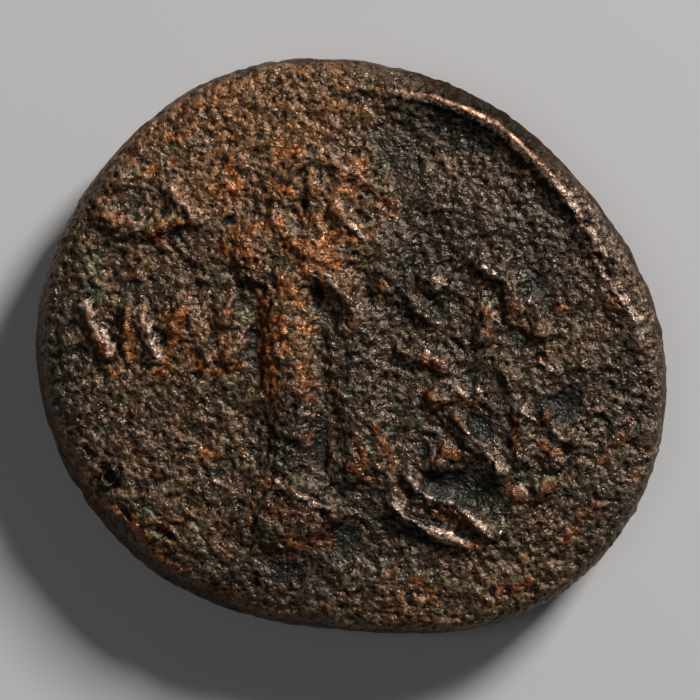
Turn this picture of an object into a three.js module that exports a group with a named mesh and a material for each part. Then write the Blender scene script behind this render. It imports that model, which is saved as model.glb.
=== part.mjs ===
// An ancient struck bronze coin, worn and corroded, lying with its figure side up.
// Millimetres, +Z up through the figure side, +Y towards the figure's head, +X along the coin's length.
// The origin is under the middle of the coin, on the plane that it lies on.
import * as THREE from 'three';

// The blank
const coinLength = 21.0;
const coinWidth = 19.15;
const fieldLevel = 3.1;
const girthLevel = 1.75;
const shoulderWidth = 0.42;
const footWidth = 0.75;
const footLevel = 0.42;

// How far the blank's outline leaves a circle: waves round the edge, share of the radius, direction of a crest
const outlineWaves = [
  { waves: 1, share: 0.0188, crest: -84 },
  { waves: 2, share: 0.0611, crest: -21 },
  { waves: 3, share: 0.0242, crest: -30 },
  { waves: 4, share: 0.0041, crest: 43 },
  { waves: 5, share: 0.0037, crest: 24 },
  { waves: 6, share: 0.0047, crest: 0 },
];

// Where the side leans out more than elsewhere, and where the widest line lies lower
const widerShoulders = [
  { towards: 218, spread: 34, extra: 0.5 },
  { towards: 90, spread: 20, extra: 0.26 },
  { towards: 22, spread: 22, extra: 0.22 },
];
const girthDrop = { towards: 225, spread: 60, depth: 0.7 };

// The figure side's ground
const faceDome = 0.16;
const edgeRoll = 0.12;
const edgeRollWidth = 0.7;
const rimRidge = { towards: 44, spread: 42, height: 0.22, halfWidth: 0.34, inset: 0.14 };
const rimHollow = { towards: 56, spread: 30, depth: 0.12, halfWidth: 1.0, inset: 1.15 };
const groundHollows = [
  { at: [3.6, -4.9], half: [1.3, 0.8], turn: 20, depth: 0.1 },
  { at: [7.1, -1.9], half: [0.9, 0.6], turn: 0, depth: 0.09 },
  { at: [4.2, -2.4], half: [0.9, 0.4], turn: -35, depth: 0.07 },
  { at: [-5.6, -2.0], half: [1.6, 0.7], turn: 0, depth: 0.06 },
  { at: [1.9, 6.6], half: [1.2, 1.0], turn: 0, depth: 0.1 },
  { at: [1.0, -6.6], half: [0.9, 0.7], turn: 0, depth: 0.09 },
];
const edgePit = { at: [-8.0, -4.35], half: [0.5, 0.3], turn: -60, depth: 0.5 };
const edgeCrack = { at: [-6.1, -6.3], half: [0.5, 0.1], turn: -14, depth: 0.2 };

// The standing figure, with its pieces as shares of its height from the ground line up
const figureHeight = 11.1;
const figureFoot = [-1.2, -4.35];
const figureRelief = 0.4;
const figurePieces = [
  { dome: [0.0, 0.87], half: [0.05, 0.07], rise: 0.95 }, // head
  { bar: [[0.0, 0.83], [0.0, 0.77]], width: 0.04, rise: 0.65 }, // neck
  { ring: [0.0, 0.885], radius: 0.075, sweep: [-30, 210], width: 0.032, rise: 0.7 }, // hair roll
  { bar: [[-0.09, 0.86], [-0.13, 0.76]], width: 0.036, rise: 0.5 }, // left veil fold
  { bar: [[0.1, 0.91], [0.21, 0.85]], width: 0.032, rise: 0.5 }, // right veil fold
  { bar: [[0.11, 0.85], [0.18, 0.79]], width: 0.032, rise: 0.5 }, // low veil fold
  { dome: [0.01, 0.67], half: [0.17, 0.12], rise: 0.8 }, // chest
  { dome: [-0.185, 0.7], half: [0.105, 0.08], rise: 0.85 }, // left shoulder
  { dome: [0.19, 0.7], half: [0.1, 0.1], rise: 0.8 }, // right shoulder
  { bar: [[-0.24, 0.68], [-0.17, 0.6]], width: 0.05, rise: 0.75 }, // left forearm
  { bar: [[0.24, 0.66], [0.2, 0.57]], width: 0.05, rise: 0.65 }, // right forearm
  { bar: [[0.06, 0.8], [0.13, 0.71]], width: 0.03, rise: 1.0 }, // neck fold
  { bar: [[-0.12, 0.76], [0.0, 0.65]], width: 0.034, rise: 1.0 }, // breast fold
  { bar: [[-0.1, 0.6], [0.1, 0.585]], width: 0.04, rise: 0.95 }, // waist roll
  { bar: [[-0.085, 0.54], [-0.07, 0.05]], width: 0.08, rise: 0.95 }, // left leg
  { bar: [[-0.04, 0.5], [-0.035, 0.12]], width: 0.035, rise: 1.08 }, // left leg fold
  { bar: [[0.07, 0.58], [0.13, 0.46]], width: 0.045, rise: 1.0 }, // right hip
  { bar: [[0.13, 0.46], [0.13, 0.04]], width: 0.072, rise: 0.66 }, // right leg
  { bar: [[0.05, 0.42], [0.085, 0.22]], width: 0.026, rise: 0.5 }, // inner fold
  { bar: [[0.17, 0.2], [0.21, 0.02]], width: 0.034, rise: 0.62 }, // outer fold
  { dome: [-0.05, 0.0], half: [0.08, 0.045], rise: 0.6 }, // left foot
  { dome: [0.1, 0.0], half: [0.065, 0.04], rise: 0.5 }, // right foot
];
const legGroove = { at: [-0.172, 0.42], half: [0.028, 0.14], turn: 0, depth: 0.15 };

// The round base under the figure, and the slanting form beside its feet
const baseCentre = [-2.0, -5.7];
const baseHalf = [1.8, 1.4];
const baseRelief = 0.4;
const baseRim = { sweep: [0, 105], halfWidth: 0.34, height: 0.46 };
const slantRelief = 0.34;
const slantRidges = [
  { points: [[1.9, -4.35], [2.45, -5.0], [3.4, -5.25], [4.6, -6.2]], halfWidth: 0.36, rise: 1.0 },
  { points: [[1.3, -5.2], [1.8, -5.85], [2.9, -6.3], [3.7, -6.6]], halfWidth: 0.34, rise: 0.9 },
  { points: [[0.9, -4.1], [1.5, -5.1]], halfWidth: 0.34, rise: 0.6 },
];

// Rows of plain worn strokes where the legend was. Each stroke is the x of its middle, how far it leans,
// its length, and how far its middle stands above the row's level.
const strokeHalfWidth = 0.33;
const strokeHeight = 0.27;
const strokeSwell = 1.15;
const strokeRows = [
  {
    level: 0.45,
    strokes: [[-8.45, -0.75, 1.5, 0.1], [-7.5, 0.1, 0.6, 0.4], [-6.75, -0.55, 1.45, -0.1], [-5.75, 0.35, 0.7, 0.5],
      [-5.0, -0.55, 1.35, -0.05], [-4.15, 0.1, 0.5, 0.6], [-4.0, 0.2, 0.4, -0.6]],
  },
  {
    level: 1.5,
    strokes: [[2.15, -0.5, 0.5, -0.2], [2.7, -0.55, 0.25, 0.5], [4.4, 0.05, 1.1, -0.7], [4.6, -0.55, 0.3, 1.05],
      [5.3, -0.1, 1.0, 0.0], [6.15, -0.25, 1.1, -0.5]],
  },
  {
    level: -1.0,
    strokes: [[2.35, -1.3, 0.5, 0.55], [3.2, 0.9, 0.2, -0.65], [5.2, -0.3, 0.4, 0.1]],
  },
  {
    level: -3.1,
    strokes: [[3.8, -0.7, 1.1, 0.2], [4.65, -0.6, 0.8, -0.7], [3.0, 0.3, 0.5, -0.7], [5.65, 0.05, 1.5, 0.1],
      [7.1, -0.7, 0.3, 0.1], [6.7, -0.2, 0.2, -0.65], [6.5, 0.1, 0.2, 0.85], [6.4, 0.1, 0.15, -1.6]],
  },
];

// The curl at the upper left, above the first row
const curlCentre = [-7.0, 4.9];
const curlHalf = [1.5, 1.05];
const curlSweep = [190, 345];
const curlHalfWidth = 0.42;
const curlHeight = 0.27;
const curlSpur = { points: [[-7.55, 6.2], [-7.6, 5.3]], halfWidth: 0.3, height: 0.22 };
const curlTail = { points: [[-6.0, 5.3], [-5.2, 4.2]], halfWidth: 0.34, height: 0.24 };

// The underside: a worn wreath round a flat boss, inside a flat ring that the coin rests on
const undersideRecess = 0.26;
const bossRadius = 1.9;
const bossBevel = 0.9;
const restRing = { inset: 1.1, halfWidth: 0.3, bevel: 0.8 };
const wreathRadius = 5.1;
const leavesPerBranch = 6;
const wreathGap = 24;
const leafHalf = [1.25, 0.45];
const leafTurn = 15;
const leafSpread = 0.52;
const leafRelief = 0.24;

// How steeply a relief piece rises at its edge, how round its top is, and how tightly pieces run together
const edgePower = 1.5;
const topPower = 3;
const blendPower = 4;

// How finely the surfaces are divided
const outlineSamples = 1440;
const arcSteps = 10;
const gridCells = 256;
const faceTolerance = 0.053;
const undersideTolerance = 0.055;
const ringPoints = 96;
const upperRings = 4;
const lowerRings = 3;

const bronze = new THREE.MeshStandardMaterial({ color: 0x5a4433, roughness: 0.55, metalness: 0.75 });

function radians(degrees) {
  return THREE.MathUtils.degToRad(degrees);
}

function clamp01(value) {
  return Math.min(1, Math.max(0, value));
}

// 1 in a direction, falling smoothly to 0 at its spread on either side
function towards(angle, direction, spread) {
  const away = Math.abs(Math.atan2(Math.sin(angle - radians(direction)), Math.cos(angle - radians(direction))));
  const share = clamp01(1 - away / (2 * radians(spread)));
  return share * share * (3 - 2 * share);
}

// The outline in plan, scaled and centred so that its box is the coin's length and width
function makeOutline() {
  const shapeAt = (angle) => {
    let radius = 1;
    for (const { waves, share, crest } of outlineWaves) {
      radius += share * Math.cos(waves * (angle - radians(crest)));
    }
    return new THREE.Vector2(radius * Math.cos(angle), radius * Math.sin(angle));
  };
  const box = new THREE.Box2();
  for (let i = 0; i < outlineSamples; i += 1) {
    box.expandByPoint(shapeAt((2 * Math.PI * i) / outlineSamples));
  }
  const middle = box.getCenter(new THREE.Vector2());
  const scale = new THREE.Vector2(coinLength, coinWidth).divide(box.getSize(new THREE.Vector2()));
  return (angle) => shapeAt(angle).sub(middle).multiply(scale);
}

const outlineAt = makeOutline();

// A point of the outline drawn in towards the middle by a width
function drawnIn(angle, width) {
  const point = outlineAt(angle);
  return point.multiplyScalar(1 - width / point.length());
}

function shoulderAt(angle) {
  let width = shoulderWidth;
  for (const { towards: direction, spread, extra } of widerShoulders) {
    width += extra * towards(angle, direction, spread);
  }
  return width;
}

const faceEdgeAt = (angle) => drawnIn(angle, shoulderAt(angle));
const undersideEdgeAt = (angle) => drawnIn(angle, footWidth);

function girthAt(angle) {
  return girthLevel - girthDrop.depth * towards(angle, girthDrop.towards, girthDrop.spread);
}

// Relief pieces: each is a function of x and y that gives its height there, from 0 up
function crossSection(share) {
  return share >= 1 ? 0 : (1 - share ** topPower) ** edgePower;
}

// 1 up to a half width, then down a smooth bevel to 0
function plateau(away, halfWidth, bevel) {
  const share = clamp01(1 - (away - halfWidth) / bevel);
  return share * share * (3 - 2 * share);
}

function bar([from, to], halfWidth, height) {
  const run = [to[0] - from[0], to[1] - from[1]];
  const lengthSquared = run[0] ** 2 + run[1] ** 2;
  return (x, y) => {
    const along = clamp01(((x - from[0]) * run[0] + (y - from[1]) * run[1]) / lengthSquared);
    const away = Math.hypot(x - from[0] - along * run[0], y - from[1] - along * run[1]);
    return height * crossSection(away / halfWidth);
  };
}

function chain(points, halfWidth, height) {
  const bars = points.slice(1).map((point, i) => bar([points[i], point], halfWidth, height));
  return (x, y) => Math.max(...bars.map((piece) => piece(x, y)));
}

function dome(centre, half, turn, height) {
  const c = Math.cos(radians(turn));
  const s = Math.sin(radians(turn));
  return (x, y) => {
    const across = (c * (x - centre[0]) + s * (y - centre[1])) / half[0];
    const up = (c * (y - centre[1]) - s * (x - centre[0])) / half[1];
    return height * crossSection(Math.hypot(across, up));
  };
}

function arc(centre, half, [start, end], halfWidth, height) {
  const points = [];
  for (let i = 0; i <= arcSteps; i += 1) {
    const angle = radians(start + ((end - start) * i) / arcSteps);
    points.push([centre[0] + half[0] * Math.cos(angle), centre[1] + half[1] * Math.sin(angle)]);
  }
  return chain(points, halfWidth, height);
}

// Pieces run into each other smoothly, the higher one leading
function together(pieces) {
  return (x, y) => {
    let sum = 0;
    for (const piece of pieces) {
      sum += piece(x, y) ** blendPower;
    }
    return sum ** (1 / blendPower);
  };
}

function onFigure([x, y]) {
  return [figureFoot[0] + figureHeight * x, figureFoot[1] + figureHeight * y];
}

function onFigureSize(share) {
  return figureHeight * share;
}

function figure() {
  return figurePieces.map((piece) => {
    const height = figureRelief * piece.rise;
    if (piece.dome) {
      return dome(onFigure(piece.dome), piece.half.map(onFigureSize), 0, height);
    }
    if (piece.ring) {
      const radius = onFigureSize(piece.radius);
      return arc(onFigure(piece.ring), [radius, radius], piece.sweep, onFigureSize(piece.width), height);
    }
    return bar(piece.bar.map(onFigure), onFigureSize(piece.width), height);
  });
}

function base() {
  const rimHalf = baseHalf.map((size) => size - baseRim.halfWidth);
  return [
    dome(baseCentre, baseHalf, 0, baseRelief),
    arc(baseCentre, rimHalf, baseRim.sweep, baseRim.halfWidth, baseRim.height),
  ];
}

function slantingForm() {
  return slantRidges.map(({ points, halfWidth, rise }) => chain(points, halfWidth, slantRelief * rise));
}

function strokeRow({ level, strokes }) {
  return strokes.flatMap(([x, lean, length, lift]) => {
    const middle = level + lift;
    const head = [x + lean / 2, middle + length / 2];
    const foot = [x - lean / 2, middle - length / 2];
    const end = strokeHalfWidth * strokeSwell;
    return [
      bar([head, foot], strokeHalfWidth, strokeHeight),
      dome(foot, [end, end], 0, strokeHeight * strokeSwell),
    ];
  });
}

function curl() {
  return [
    arc(curlCentre, curlHalf, curlSweep, curlHalfWidth, curlHeight),
    chain(curlSpur.points, curlSpur.halfWidth, curlSpur.height),
    chain(curlTail.points, curlTail.halfWidth, curlTail.height),
  ];
}

const faceRelief = together([
  ...figure(),
  ...base(),
  ...slantingForm(),
  ...strokeRows.flatMap(strokeRow),
  ...curl(),
]);

const faceHollows = [
  ...groundHollows.map(({ at, half, turn, depth }) => dome(at, half, turn, depth)),
  dome(onFigure(legGroove.at), legGroove.half.map(onFigureSize), legGroove.turn, legGroove.depth),
  dome(edgePit.at, edgePit.half, edgePit.turn, edgePit.depth),
  dome(edgeCrack.at, edgeCrack.half, edgeCrack.turn, edgeCrack.depth),
];

// The figure side: x and y, with the way from the middle as a share, the direction, and the inset
function faceLevel({ x, y, share, angle, inset }) {
  const rolled = clamp01(1 - inset / edgeRollWidth);
  let level = fieldLevel + faceDome * (1 - share * share) - edgeRoll * rolled * rolled;
  const ridge = rimRidge.height * towards(angle, rimRidge.towards, rimRidge.spread);
  level += ridge * crossSection(Math.abs(inset - rimRidge.inset) / rimRidge.halfWidth);
  const hollow = rimHollow.depth * towards(angle, rimHollow.towards, rimHollow.spread);
  level -= hollow * crossSection(Math.abs(inset - rimHollow.inset) / rimHollow.halfWidth);
  level += faceRelief(x, y) * clamp01(inset / shoulderWidth);
  for (const dent of faceHollows) {
    level -= dent(x, y);
  }
  return level;
}

// The underside's leaves stand in pairs along two branches, with a gap at the top and the bottom
function wreath() {
  const pieces = [];
  const sweep = 180 - wreathGap;
  for (const side of [1, -1]) {
    for (let i = 0; i < leavesPerBranch; i += 1) {
      const along = wreathGap / 2 + (sweep * (i + 0.5)) / leavesPerBranch;
      const direction = 90 + side * along;
      const angle = radians(direction);
      for (const row of [1, -1]) {
        const radius = wreathRadius + row * leafSpread;
        const centre = [radius * Math.cos(angle), radius * Math.sin(angle)];
        pieces.push(dome(centre, leafHalf, direction + 90 - side * row * leafTurn, leafRelief));
      }
    }
  }
  return pieces;
}

const undersideRelief = together(wreath());

// The underside: its boss and ring come down to the resting plane, and nothing comes lower
function undersideLevel({ x, y, inset }) {
  const boss = plateau(Math.hypot(x, y), bossRadius, bossBevel);
  const ring = plateau(Math.abs(inset - restRing.inset), restRing.halfWidth, restRing.bevel);
  const outer = restRing.inset - restRing.halfWidth;
  if (inset < outer) {
    return footLevel * (1 - inset / outer) ** 2;
  }
  return Math.max(0, undersideRecess * (1 - Math.max(boss, ring)) - undersideRelief(x, y));
}

// A square grid of samples, bent so that its border follows an edge
function sampleSheet(edgeAt, levelAt) {
  const side = gridCells + 1;
  const samples = new Array(side * side);
  for (let row = 0; row < side; row += 1) {
    for (let column = 0; column < side; column += 1) {
      const s = (2 * column) / gridCells - 1;
      const t = (2 * row) / gridCells - 1;
      const u = s * Math.sqrt(1 - (t * t) / 2);
      const v = t * Math.sqrt(1 - (s * s) / 2);
      const share = Math.hypot(u, v);
      const angle = Math.atan2(v, u);
      const edge = edgeAt(angle);
      const x = edge.x * share;
      const y = edge.y * share;
      const z = levelAt({ x, y, share, angle, inset: edge.length() * (1 - share) });
      samples[row * side + column] = { x, y, z, angle };
    }
  }
  return samples;
}

// A triangle of the grid is its long side's two ends and its right-angled corner, each a column and a row
function halves([ax, ay, bx, by, cx, cy]) {
  const mx = (ax + bx) / 2;
  const my = (ay + by) / 2;
  return [[cx, cy, ax, ay, mx, my], [bx, by, cx, cy, mx, my]];
}

function quarters() {
  const n = gridCells;
  const m = gridCells / 2;
  return [[0, 0, n, 0, m, m], [n, 0, n, n, m, m], [n, n, 0, n, m, m], [0, n, 0, 0, m, m]];
}

// How level a triangle lies: 1 when flat, near 0 when upright
function levelness(a, b, c) {
  const crossX = (b.y - a.y) * (c.z - a.z) - (b.z - a.z) * (c.y - a.y);
  const crossY = (b.z - a.z) * (c.x - a.x) - (b.x - a.x) * (c.z - a.z);
  const crossZ = (b.x - a.x) * (c.y - a.y) - (b.y - a.y) * (c.x - a.x);
  return Math.abs(crossZ) / Math.hypot(crossX, crossY, crossZ);
}

// How far the surface strays from each long side at its middle, square to the triangle, there and in all
// finer triangles
function strayings(samples) {
  const side = gridCells + 1;
  const at = (column, row) => row * side + column;
  const stray = new Float64Array(side * side);
  const levels = [quarters()];
  while (true) {
    const finer = levels[levels.length - 1].flatMap(halves);
    if (!Number.isInteger((finer[0][0] + finer[0][2]) / 2) || !Number.isInteger((finer[0][1] + finer[0][3]) / 2)) {
      break;
    }
    levels.push(finer);
  }
  for (const triangles of levels.reverse()) {
    for (const triangle of triangles) {
      const [ax, ay, bx, by, cx, cy] = triangle;
      const middle = at((ax + bx) / 2, (ay + by) / 2);
      const a = samples[at(ax, ay)];
      const b = samples[at(bx, by)];
      const m = samples[middle];
      const onBorder = (ax === bx && (ax === 0 || ax === gridCells)) || (ay === by && (ay === 0 || ay === gridCells));
      const inPlan = onBorder ? Math.hypot(m.x - (a.x + b.x) / 2, m.y - (a.y + b.y) / 2) : 0;
      const inHeight = Math.abs(m.z - (a.z + b.z) / 2) * levelness(a, b, samples[at(cx, cy)]);
      let most = Math.max(stray[middle], inHeight, inPlan);
      for (const [px, py] of [[(ax + cx) / 2, (ay + cy) / 2], [(bx + cx) / 2, (by + cy) / 2]]) {
        if (Number.isInteger(px) && Number.isInteger(py)) {
          most = Math.max(most, stray[at(px, py)]);
        }
      }
      stray[middle] = most;
    }
  }
  return stray;
}

// The coarsest right triangles that stay within a tolerance of the sampled surface
function divideSheet(samples, tolerance) {
  const side = gridCells + 1;
  const stray = strayings(samples);
  const triangles = [];
  const divide = (triangle) => {
    const [ax, ay, bx, by, cx, cy] = triangle;
    const mx = (ax + bx) / 2;
    const my = (ay + by) / 2;
    if (Number.isInteger(mx) && Number.isInteger(my) && stray[my * side + mx] > tolerance) {
      halves(triangle).forEach(divide);
      return;
    }
    triangles.push([ay * side + ax, by * side + bx, cy * side + cx]);
  };
  quarters().forEach(divide);
  return triangles;
}

// The mesh is gathered corner by corner: points in order, and triangles as numbers of points
const points = [];
const faces = [];

function addPoint(x, y, z) {
  points.push(x, y, z);
  return points.length / 3 - 1;
}

// Adds a sheet and gives back its border, in order of direction
function addSheet(edgeAt, levelAt, tolerance, facesUp) {
  const side = gridCells + 1;
  const samples = sampleSheet(edgeAt, levelAt);
  const numbers = new Map();
  const border = [];
  const numberOf = (sample) => {
    if (!numbers.has(sample)) {
      const { x, y, z, angle } = samples[sample];
      numbers.set(sample, addPoint(x, y, z));
      const column = sample % side;
      const row = Math.floor(sample / side);
      if (column === 0 || row === 0 || column === gridCells || row === gridCells) {
        border.push({ angle: (angle + 2 * Math.PI) % (2 * Math.PI), number: numbers.get(sample) });
      }
    }
    return numbers.get(sample);
  };
  for (const triangle of divideSheet(samples, tolerance)) {
    const [a, b, c] = triangle.map(numberOf);
    faces.push(...(facesUp ? [a, b, c] : [a, c, b]));
  }
  return border.sort((a, b) => a.angle - b.angle);
}

function addRing(pointAt) {
  const ring = [];
  for (let i = 0; i < ringPoints; i += 1) {
    const angle = (2 * Math.PI * i) / ringPoints;
    const { x, y, z } = pointAt(angle);
    ring.push({ angle, number: addPoint(x, y, z) });
  }
  return ring;
}

// Joins an upper loop to a lower one by a strip of triangles that face outwards
function addStrip(upper, lower) {
  const turn = 2 * Math.PI;
  const angleOf = (loop, i) => loop[i % loop.length].angle + (i >= loop.length ? turn : 0);
  const numberOf = (loop, i) => loop[i % loop.length].number;
  let u = 0;
  let l = 0;
  while (u < upper.length || l < lower.length) {
    const lowerNext = u >= upper.length || (l < lower.length && angleOf(lower, l + 1) <= angleOf(upper, u + 1));
    if (lowerNext) {
      faces.push(numberOf(upper, u), numberOf(lower, l), numberOf(lower, l + 1));
      l += 1;
    } else {
      faces.push(numberOf(upper, u), numberOf(lower, l), numberOf(upper, u + 1));
      u += 1;
    }
  }
}

// The side rounds over from the face's edge to the girth, and back in to the underside's edge
function sideRings() {
  const edgeLevel = (angle) => {
    const edge = faceEdgeAt(angle);
    return faceLevel({ x: edge.x, y: edge.y, share: 1, angle, inset: 0 });
  };
  const rings = [];
  for (let i = 1; i <= upperRings; i += 1) {
    const turn = (Math.PI / 2) * (i / upperRings);
    rings.push(addRing((angle) => {
      const plan = drawnIn(angle, shoulderAt(angle) * (1 - Math.sin(turn)));
      const girth = girthAt(angle);
      return { x: plan.x, y: plan.y, z: girth + (edgeLevel(angle) - girth) * Math.cos(turn) };
    }));
  }
  for (let i = 1; i < lowerRings; i += 1) {
    const turn = (Math.PI / 2) * (i / lowerRings);
    rings.push(addRing((angle) => {
      const plan = drawnIn(angle, footWidth * (1 - Math.cos(turn)));
      return { x: plan.x, y: plan.y, z: footLevel + (girthAt(angle) - footLevel) * (1 - Math.sin(turn)) };
    }));
  }
  return rings;
}

function makeCoin() {
  const faceBorder = addSheet(faceEdgeAt, faceLevel, faceTolerance, true);
  const undersideBorder = addSheet(undersideEdgeAt, undersideLevel, undersideTolerance, false);
  const loops = [faceBorder, ...sideRings(), undersideBorder];
  for (let i = 1; i < loops.length; i += 1) {
    addStrip(loops[i - 1], loops[i]);
  }
  const geometry = new THREE.BufferGeometry();
  geometry.setAttribute('position', new THREE.Float32BufferAttribute(points, 3));
  geometry.setIndex(faces);
  geometry.computeVertexNormals();
  return geometry;
}

const coin = new THREE.Mesh(makeCoin(), bronze);
coin.name = 'coin';

const part = new THREE.Group();
part.add(coin);

export default part;
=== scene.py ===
# Finishes the ancient bronze coin. The struck relief is softened by wear and given sharp little crests, grain
# and pits as real form, then its colours: brown patina, orange-brown patches, rubbed copper and green, with
# some highlights and shade painted in.
# Lengths are in millimetres and turn to metres when the finished piece is put in its place.
import math

import bpy
import numpy as np
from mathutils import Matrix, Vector, noise


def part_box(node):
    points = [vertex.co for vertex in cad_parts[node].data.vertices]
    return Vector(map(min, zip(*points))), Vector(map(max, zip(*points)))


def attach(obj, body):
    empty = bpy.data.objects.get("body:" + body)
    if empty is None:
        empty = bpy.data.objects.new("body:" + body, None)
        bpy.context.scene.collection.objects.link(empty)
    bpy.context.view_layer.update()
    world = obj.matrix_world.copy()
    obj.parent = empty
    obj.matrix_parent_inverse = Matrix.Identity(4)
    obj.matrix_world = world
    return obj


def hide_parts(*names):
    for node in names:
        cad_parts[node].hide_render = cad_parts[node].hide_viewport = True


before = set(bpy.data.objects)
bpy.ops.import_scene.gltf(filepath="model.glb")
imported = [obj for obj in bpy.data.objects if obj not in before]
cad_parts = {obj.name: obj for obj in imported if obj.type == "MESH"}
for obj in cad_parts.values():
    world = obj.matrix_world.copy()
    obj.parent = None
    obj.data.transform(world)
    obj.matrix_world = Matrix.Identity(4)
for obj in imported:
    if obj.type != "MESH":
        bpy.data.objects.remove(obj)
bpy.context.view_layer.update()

METRES = 0.001
COIN_LOW, COIN_HIGH = (Vector(corner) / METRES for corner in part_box("coin"))

# The grain of the mesh on the figure side, and how many triangles the finished coin keeps
SKIN_STEP = 0.071
SKIN_TRIANGLES = 196_000

# Wear: how far round each point the field is judged, in passes over the mesh, how much of the relief goes,
# and the distances from the middle between which that fades out
WEAR_REACH = 100
WEAR_SHARE = 0.3
WEAR_FADE = (7.4, 8.8)

# Heights that part the figure side from the wall, and the wall from the underside
FACE_FLOOR = 2.75
UNDERSIDE_TOP = 0.55

# The most that the skin moves for crests, flats, the hollow inside the rim, the filled pit, and pits
CREST_REACH = 0.2
FLAT_REACH = 0.1
HOLLOW_DEPTH = 0.1
FILLING_HEIGHT = 0.38
PIT_REACH = 0.26

# Crests: how far they spread for their half width, the share of their rise that is left, and their sharpness
CREST_SPREAD = 1.3
CREST_LEFT = 0.7
CREST_SHARPNESS = 1.5

# Distances from the rim's ridge between which the hollow inside it fades out
HOLLOW_FADE = (0.3, 0.9)

# Grain of the skin: the size of each texture, and how far it moves the skin
SWELLS = (2.4, 0.12)
LUMPS = (0.8, 0.2)
CORROSION = (0.26, 0.2)
CRUMBS = (0.25, 0.09)

# How much of that grain flats, crests and the outer slope lose, and what share the wall and the underside get
FLAT_CALM = 0.8
CREST_CALM = 0.15
SLOPE_CALM = 0.1
WALL_GRAIN = 0.5
UNDERSIDE_GRAIN = 0.6

# Passes over the mesh that smooth its fine form and its broad form away, and the heights that count as one
FINE_PASSES = 6
BROAD_PASSES = 60
FINE_HEIGHT = 0.03
BROAD_HEIGHT = 0.12

# Marks are placed in the photograph's points. The one over the coin's middle, and the size of a point
MIDDLE_POINT = (351, 346)
POINT_SIZE = 0.03323

# Without a seed, the noise that makes the marks wander starts from the clock
NOISE_SEED = 5
noise.seed_set(NOISE_SEED)


def on_coin(x, y):
    """A point of the photograph as a place on the coin, to a hundredth of a millimetre."""
    return round((x - MIDDLE_POINT[0]) * POINT_SIZE, 2), round((MIDDLE_POINT[1] - y) * POINT_SIZE, 2)


def strokes(rows, width_size=POINT_SIZE):
    """Strokes on the coin: start x, y, end x, y, half width, and rise or strength."""
    return [
        (*on_coin(x0, y0), *on_coin(x1, y1), round(half_width * width_size, 2), amount)
        for x0, y0, x1, y1, half_width, amount in rows
    ]


def patches(rows):
    """Ovals on the coin: x, y, half length, half width, turn in degrees, and depth or strength."""
    return [
        (*on_coin(x, y), round(half_length * POINT_SIZE, 2), round(half_width * POINT_SIZE, 2), turn, amount)
        for x, y, half_length, half_width, turn, amount in rows
    ]


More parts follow.
